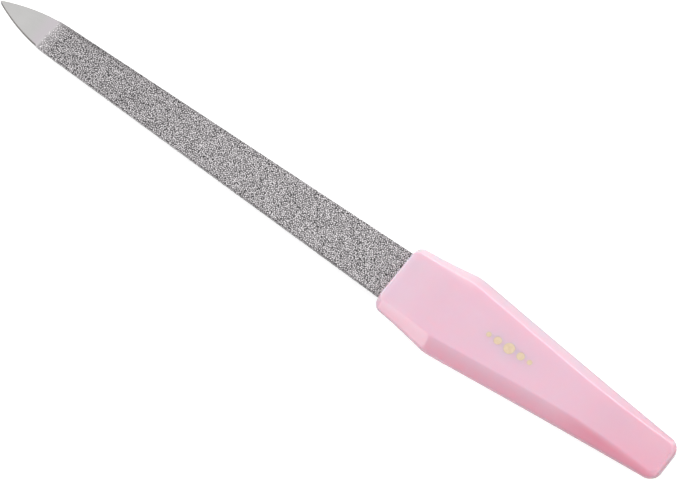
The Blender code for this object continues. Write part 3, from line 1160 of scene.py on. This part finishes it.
@dataclass(frozen=True)
class HandleShape:
    """The moulded handle's surface, with X counted from its front face and Z from its middle."""

    length: float
    thickness: float
    widest_at: float = 0.0123
    flat_end_at: float = 0.0308
    front_width: float = 0.01388
    widest_width: float = 0.01732
    end_width: float = 0.00816
    front_hollow: float = 0.00019
    rear_hollow: float = 0.00013
    widest_ease: float = 0.00014
    front_thickness: float = 0.0040
    end_thickness: float = 0.0020
    rim_height: float = 0.0011
    front_corner: float = 0.0014
    end_corner: float = 0.0024
    front_bevel: float = 0.0013
    widest_bevel: float = 0.0023
    end_bevel: float = 0.0007
    end_spread: float = 0.00035
    front_edge_round: float = 0.0006
    side_edge_round: float = 0.00027
    end_edge_round: float = 0.0002
    rim_round: float = 0.00014
    parting_depth: float = 0.00004
    parting_half_width: float = 0.00006
    corner_steps: int = 20
    front_steps: int = 40
    rear_steps: int = 90
    edge_steps: int = 8
    rim_steps: int = 4
    guard_share: float = 0.06

    def half_width(self, x: float) -> float:
        """Half the width at the rim. The two sides' lines meet in an eased widest point.

        Args:
            x: The distance from the front face.

        Returns:
            Half the width there.
        """
        half, front_half = self.widest_width / 2, self.front_width / 2
        rise = half - front_half
        if x < self.widest_at:
            front = self._hollow(x / self.widest_at, front_half, half, self.front_hollow)
            rear = half + rise * (1 - x / self.widest_at)
        else:
            share = (x - self.widest_at) / (self.length - self.widest_at)
            front = half + rise * (x / self.widest_at - 1)
            rear = self._hollow(share, half, self.end_width / 2, self.rear_hollow)
        return (front + rear) / 2 - math.hypot((front - rear) / 2, self.widest_ease)

    @staticmethod
    def _hollow(share: float, start: float, end: float, hollow: float) -> float:
        """A height on a line from start to end that is drawn in a little at its middle."""
        return start + (end - start) * share - hollow * 4 * share * (1 - share)

    def half_thickness(self, x: float) -> float:
        """Half the thickness: a rising front, a flat stretch, then an arc down to the end.

        Args:
            x: The distance from the front face.

        Returns:
            Half the thickness there.
        """
        front, full, end = self.front_thickness / 2, self.thickness / 2, self.end_thickness / 2
        if x < self.widest_at:
            return front + (full - front) * x / self.widest_at
        if x < self.flat_end_at:
            return full
        share = (x - self.flat_end_at) / (self.length - self.flat_end_at)
        return full - (full - end) * share**2

    def rise(self, x: float) -> float:
        """Height of the bevel between the rim and the top."""
        return self.half_thickness(x) - self.rim_height / 2

    def run(self, x: float) -> float:
        """Width of the side bevel in plan. It keeps one angle, but flattens towards the end.

        Args:
            x: The distance from the front face.

        Returns:
            The width there.
        """
        if x < self.widest_at:
            return self.front_bevel + (self.widest_bevel - self.front_bevel) * x / self.widest_at
        spread = max(0.0, (x - self.flat_end_at) / (self.length - self.flat_end_at)) * self.end_spread
        return self.widest_bevel * self.rise(x) / self.rise(self.widest_at) + spread

    def section(self, run: float, rise: float, edge_round: float) -> list[Point2]:
        """Half a section from the parting line to the top, as (inset, height) points.

        Args:
            run: The bevel's width in plan.
            rise: Its height.
            edge_round: How far the rounding of its upper edge reaches.

        Returns:
            The points. A guard point beside each rounding keeps the flats flat when shaded.
        """
        rim = self.rim_height / 2
        length = math.hypot(run, rise)
        along = (run / length, rise / length)
        points = [(self.parting_depth, 0.0), (0.0, self.parting_half_width)]
        low = (0.0, rim - self.rim_round)
        high = (along[0] * self.rim_round, rim + along[1] * self.rim_round)
        points += self._arc(low, (0.0, rim), high, self.rim_steps)
        guard = self.guard_share * length
        points.append((high[0] + along[0] * guard, high[1] + along[1] * guard))
        start = (run - along[0] * edge_round, rim + rise - along[1] * edge_round)
        points.append((start[0] - along[0] * guard, start[1] - along[1] * guard))
        points += self._arc(start, (run, rim + rise), (run + edge_round, rim + rise), self.edge_steps)
        points.append((run + edge_round + guard, rim + rise))
        return points

    @staticmethod
    def _arc(start: Point2, corner: Point2, end: Point2, steps: int) -> list[Point2]:
        """Round a corner between two points.

        Args:
            start: The point where the rounding starts.
            corner: The sharp corner.
            end: The point where it ends.
            steps: How many straight pieces it has.

        Returns:
            The points, from the start to the end.
        """
        found = []
        for step in range(steps + 1):
            share = step / steps
            weights = ((1 - share) ** 2, 2 * share * (1 - share), share**2)
            pairs = list(zip(weights, (start, corner, end)))
            found.append(tuple(sum(w * p[axis] for w, p in pairs) for axis in (0, 1)))
        return found

    def lines(self) -> list[list[Point3]]:
        """Draw the lines round a quarter of the handle.

        Returns:
            The lines, from the parting line up to the top.
        """
        front = self.section(0.0, self.rise(0.0), self.front_edge_round)
        end = self.section(self.end_bevel, self.rise(self.length), self.end_edge_round)
        return [self._line(row, front[row], end[row]) for row in range(len(front))]

    def _line(self, row: int, front: Point2, end: Point2) -> list[Point3]:
        """One line round a quarter, from the middle of the front to the middle of the end.

        Args:
            row: Which point of each section it runs through.
            front: The inset and the height of that point at the front face.
            end: The same at the end face.

        Returns:
            The points of the line.
        """

        def side(x: float) -> Point3:
            """The point of the line on the handle's side at a distance from the front face."""
            inset, height = self.section(self.run(x), self.rise(x), self.side_edge_round)[row]
            return x, self.half_width(x) - inset, height

        front_x, end_x = front[0], self.length - end[0]
        front_radius = max(self.front_corner - front[0], self.front_corner / 2)
        end_radius = max(self.end_corner - end[0], self.end_corner / 2)
        start, stop = front_x + front_radius, end_x - end_radius
        first, last = side(start), side(stop)
        line = [(front_x, 0.0, front[1]), (front_x, first[1] - front_radius, front[1])]
        line += self._corner((start, first[1] - front_radius), front_radius, math.pi, (front[1], first[2]))
        for step in range(self.front_steps):
            line.append(side(start + (self.widest_at - start) * step / self.front_steps))
        for step in range(self.rear_steps + 1):
            line.append(side(self.widest_at + (stop - self.widest_at) * step / self.rear_steps))
        line += self._corner((stop, last[1] - end_radius), end_radius, math.pi / 2, (last[2], end[1]))
        return line + [(end_x, last[1] - end_radius, end[1]), (end_x, 0.0, end[1])]

    def _corner(self, centre: Point2, radius: float, turn: float, heights: Span) -> list[Point3]:
        """Turn a line by a right angle in plan, while its height changes evenly.

        Args:
            centre: The centre of the turn.
            radius: Its radius.
            turn: The angle at which it starts.
            heights: The heights before and after it.

        Returns:
            The points between its ends.
        """
        points = []
        for step in range(1, self.corner_steps):
            share = step / self.corner_steps
            angle = turn - math.pi / 2 * share
            x, y = centre[0] + radius * math.cos(angle), centre[1] + radius * math.sin(angle)
            points.append((x, y, heights[0] + (heights[1] - heights[0]) * share))
        return points

    def quarter(self) -> bpy.types.Mesh:
        """Loft a quarter of the skin through its lines, up to the middle of the top.

        Returns:
            The open quarter.
        """
        lines = self.lines()
        shape = bmesh.new()
        rows = [[shape.verts.new(point) for point in line] for line in lines]
        middle = [shape.verts.new((x, 0, z)) for x, _, z in lines[-1][1:-1]]
        for lower, upper in zip(rows[:-1], rows[1:]):
            for index in range(len(lower) - 1):
                shape.faces.new((lower[index], upper[index], upper[index + 1], lower[index + 1]))
        top = rows[-1]
        centre = [top[0], *middle, top[-1]]
        for index in range(1, len(top) - 2):
            shape.faces.new((top[index], centre[index], centre[index + 1], top[index + 1]))
        shape.faces.new((top[0], top[1], centre[1]))
        shape.faces.new((top[-2], top[-1], centre[-2]))
        bmesh.ops.remove_doubles(shape, verts=shape.verts, dist=WELD_DISTANCE)
        bmesh.ops.recalc_face_normals(shape, faces=shape.faces)
        mesh = bpy.data.meshes.new("handle_quarter")
        shape.to_mesh(mesh)
        shape.free()
        return mesh


@dataclass(frozen=True)
class DotRow:
    """The row of stamped gold dots, with X counted from the handle's front face."""

    front_x: float
    top: float
    diameters: tuple[float, ...] = (0.0010, 0.0015, 0.0021, 0.0015, 0.0010)
    gap: float = 0.0007
    middle_at: float = 0.0249
    stamp_depth: float = 0.00003
    foil_thickness: float = 0.00002
    edge_round: float = 0.000009
    sharp_turn: float = math.radians(15)
    steps: int = 72

    def _discs(self, thickness: float, height: float, edge_round: float = 0.0) -> list[Plate]:
        """Lay out a disc for each dot.

        Args:
            thickness: The discs' thickness.
            height: The height of their middle.
            edge_round: The radius of their edges.

        Returns:
            The discs, from the front to the rear.
        """
        x = self.middle_at - (sum(self.diameters) + self.gap * (len(self.diameters) - 1)) / 2
        discs = []
        for diameter in self.diameters:
            outline = ring(self.front_x + (x + diameter / 2), diameter / 2, self.steps)
            discs.append(Plate((outline,), thickness, (0, 0, height), edge_round, 1))
            x += diameter + self.gap
        return discs

    def stamps(self) -> list[bpy.types.Mesh]:
        """The shapes that the hot stamp presses out of the plastic, one for each dot."""
        discs = self._discs(2 * self.stamp_depth, self.top)
        return [disc.mesh(f"stamp_{number}") for number, disc in enumerate(discs, 1)]

    def build(self) -> None:
        """Lay the foil in the stamped dots."""
        foil = StampedFoil("gold_foil", Slot.FOIL)
        height = self.top - self.stamp_depth + self.foil_thickness / 2
        for number, disc in enumerate(self._discs(self.foil_thickness, height, self.edge_round), 1):
            name = f"foil_dot_{number}"
            finished(name, disc.mesh(name, self.sharp_turn), foil, (f"gold_dot_{number}",))


@dataclass(frozen=True)
class Handle:
    """The moulded handle with the socket of the blade and the stamped dots."""

    shape: HandleShape
    plan: BladePlan
    tip: Point3
    steel_thickness: float
    coat: float = 0.00008
    mouth_gap: float = 0.00003
    tang_gap: float = 0.00010
    overrun: float = 0.0010
    sharp_turn: float = math.radians(30)

    def build(self) -> None:
        """Make the handle and its dots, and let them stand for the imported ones."""
        shape = self.shape
        front = (self.tip[0] + self.plan.exposed_length, 0.0, self.tip[2])
        dots = DotRow(front[0], self.tip[2] + shape.thickness / 2)
        cutters = [self._mouth(), self._tang_socket(), *dots.stamps()]
        mesh = cut(self._whole(front), cutters, self.sharp_turn)
        halves = (shape.front_thickness / 2, shape.thickness / 2)
        lengths = (shape.widest_at, shape.length)
        finish = PearlPlastic("pearl_pink_plastic", Slot.PLASTIC, front, *halves, *lengths)
        finished("moulded_handle", mesh, finish, ("handle",))
        dots.build()

    def _whole(self, front: Point3) -> bpy.types.Mesh:
        """Mirror the quarter of the skin into the whole of it.

        Args:
            front: The middle of the front face.

        Returns:
            The closed skin, in its place.
        """
        quarter = self.shape.quarter()
        shape = bmesh.new()
        for flip_y, flip_z in ((1, 1), (-1, 1), (1, -1), (-1, -1)):
            copy = quarter.copy()
            copy.transform(Matrix.Translation(front) @ Matrix.Diagonal((1, flip_y, flip_z, 1)))
            shape.from_mesh(copy)
            bpy.data.meshes.remove(copy)
        shape.to_mesh(quarter)
        shape.free()
        quarter.name = "moulded_handle"
        return welded(quarter, self.sharp_turn)

    def _mouth(self) -> bpy.types.Mesh:
        """Make the wide start of the socket, tight round the coated blade.

        Returns:
            The cutter of it.
        """
        plan, reach = self.plan, self.coat + self.mouth_gap
        start, end = plan.exposed_length - self.overrun, plan.exposed_length + plan.shoulder_depth
        rim = both_sides(plan.side(start, end + self.tang_gap, reach))
        return Plate((rim,), self.steel_thickness + 2 * reach, self.tip).mesh("mouth")

    def _tang_socket(self) -> bpy.types.Mesh:
        """Make the narrow socket of the tang.

        Returns:
            The cutter of it.
        """
        start = self.plan.exposed_length + self.plan.shoulder_depth - self.overrun
        rim = both_sides(self.plan.tang(start, self.tang_gap))
        return Plate((rim,), self.steel_thickness + 2 * self.tang_gap, self.tip).mesh("tang_socket")


# Studio


@dataclass(frozen=True)
class SoftBox:
    """A large soft lamp that faces the file."""

    name: str
    direction: Point3
    distance: float
    width: float
    height: float
    radiance: float
    mirrored: bool = True

    def build(self, aim: Vector) -> None:
        """Hang the lamp.

        Args:
            aim: The point that it faces.
        """
        lamp = bpy.data.lights.new(self.name, "AREA")
        lamp.shape = "RECTANGLE"
        lamp.size, lamp.size_y = self.width, self.height
        lamp.energy = self.radiance * self.width * self.height * math.pi
        item = show(self.name, lamp)
        towards = Vector(self.direction).normalized()
        turn = towards.to_track_quat("Z", "Y").to_matrix().to_4x4()
        item.matrix_world = Matrix.Translation(aim + towards * self.distance) @ turn
        item.visible_camera = False
        item.visible_glossy = self.mirrored


@dataclass(frozen=True)
class Studio:
    """A pale floor under soft light, seen as white by the camera and by what is glossy."""

    aim: Vector
    floor_half: float = 3.0
    floor_drop: float = 0.00002
    floor_grey: str = "aaaaaa"
    floor_lift: float = 0.82
    sky_level: float = 0.50
    seen_by: tuple[str, ...] = ("Is Camera Ray", "Is Glossy Ray", "Is Transmission Ray")
    boxes: tuple[SoftBox, ...] = (
        SoftBox("overhead_box", (-0.26, 0.29, 0.92), 1.6, 1.6, 1.6, 0.76, False),
        SoftBox("side_box", (-0.02, 0.90, 0.42), 1.5, 1.2, 0.8, 3.2),
        SoftBox("low_box", (-0.47, -0.87, 0.14), 1.5, 0.55, 0.5, 3.7),
        SoftBox("raised_box", (-0.45, -0.60, 0.66), 1.5, 0.6, 0.9, 1.4),
        SoftBox("end_box", (0.92, 0.0, 0.35), 1.5, 0.9, 0.7, 3.0),
        SoftBox("point_box", (-0.92, 0.10, 0.40), 1.5, 0.9, 0.7, 1.3),
    )

    def build(self) -> None:
        """Make the floor, the world and the lamps."""
        self._floor()
        self._world()
        for box in self.boxes:
            box.build(self.aim)

    def _seen(self, graph: Graph) -> Signal:
        """1 for a ray from the camera, off something glossy or through something clear, else 0."""
        path = graph.add("ShaderNodeLightPath").outputs
        return reduce(Signal.above, [Signal(graph, path[name]) for name in self.seen_by])

    def _floor(self) -> None:
        """A pale floor that keeps the file's shadow, lifted to white where the camera sees it."""
        shape = bmesh.new()
        bmesh.ops.create_grid(shape, x_segments=1, y_segments=1, size=self.floor_half)
        bmesh.ops.translate(shape, verts=shape.verts, vec=(0, 0, CAD_BOX[0][2] - self.floor_drop))
        mesh = bpy.data.meshes.new("floor")
        shape.to_mesh(mesh)
        shape.free()
        material = bpy.data.materials.new("pale_floor")
        material.use_nodes = True
        graph = Graph(material.node_tree)
        looks = {
            "Base Color": tint(self.floor_grey),
            "Roughness": 1.0,
            "Specular IOR Level": 0.0,
            "Emission Color": WHITE,
            "Emission Strength": self._seen(graph) * self.floor_lift,
        }
        graph.fill(material.node_tree.nodes["Principled BSDF"], looks)
        mesh.materials.append(material)
        show("floor", mesh)

    def _world(self) -> None:
        """An even sky, white where it is seen."""
        world = bpy.data.worlds.new("studio")
        world.use_nodes = True
        graph = Graph(world.node_tree)
        strength = self._seen(graph).between(self.sky_level, 1.0)
        graph.fill(world.node_tree.nodes["Background"], {"Color": WHITE, "Strength": strength})
        bpy.context.scene.world = world


@dataclass(frozen=True)
class Viewpoint:
    """The photograph's camera: high, a little to the right of the file, and rolled."""

    aim: Vector
    towards: Point3 = (0.26, -0.29, 0.92)
    roll: float = math.radians(34.77)
    distance: float = 0.9
    sensor: float = 36.0
    image_width: float = 679.0
    pixels_per_metre: float = 5610.0

    def build(self) -> None:
        """Set up the camera."""
        back = Vector(self.towards).normalized()
        along = Vector((1, 0, 0))
        along = (along - back * along.dot(back)).normalized()
        across = back.cross(along)
        right = math.cos(self.roll) * along + math.sin(self.roll) * across
        up = math.cos(self.roll) * across - math.sin(self.roll) * along
        camera = bpy.data.cameras.new("camera")
        camera.sensor_width = self.sensor
        camera.lens = self.sensor * self.distance * self.pixels_per_metre / self.image_width
        turn = Matrix((right, up, back)).transposed().to_4x4()
        item = show("camera", camera)
        item.matrix_world = Matrix.Translation(self.aim + back * self.distance) @ turn
        bpy.context.scene.camera = item


def main() -> None:
    """Build the file and its studio, and note the sizes."""
    logging.basicConfig(level=logging.INFO, format="%(name)s: %(message)s")
    steel_low, steel_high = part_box("blade")
    handle_low, handle_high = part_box("handle")
    tip = (steel_low.x, 0.0, (steel_low.z + steel_high.z) / 2)
    steel_thickness = steel_high.z - steel_low.z
    plan = BladePlan(handle_low.x - steel_low.x, tang_depth=steel_high.x - handle_low.x)
    shape = HandleShape(handle_high.x - handle_low.x, handle_high.z - handle_low.z)

    SteelBlade(plan, tip, steel_thickness).build()
    GritCoat(plan, tip, steel_thickness).build()
    Handle(shape, plan, tip, steel_thickness).build()
    aim = Vector((*AIM, tip[2]))
    Studio(aim).build()
    Viewpoint(aim).build()
    bpy.context.scene.view_settings.view_transform = "Standard"


if __name__ == "__main__":
    main()
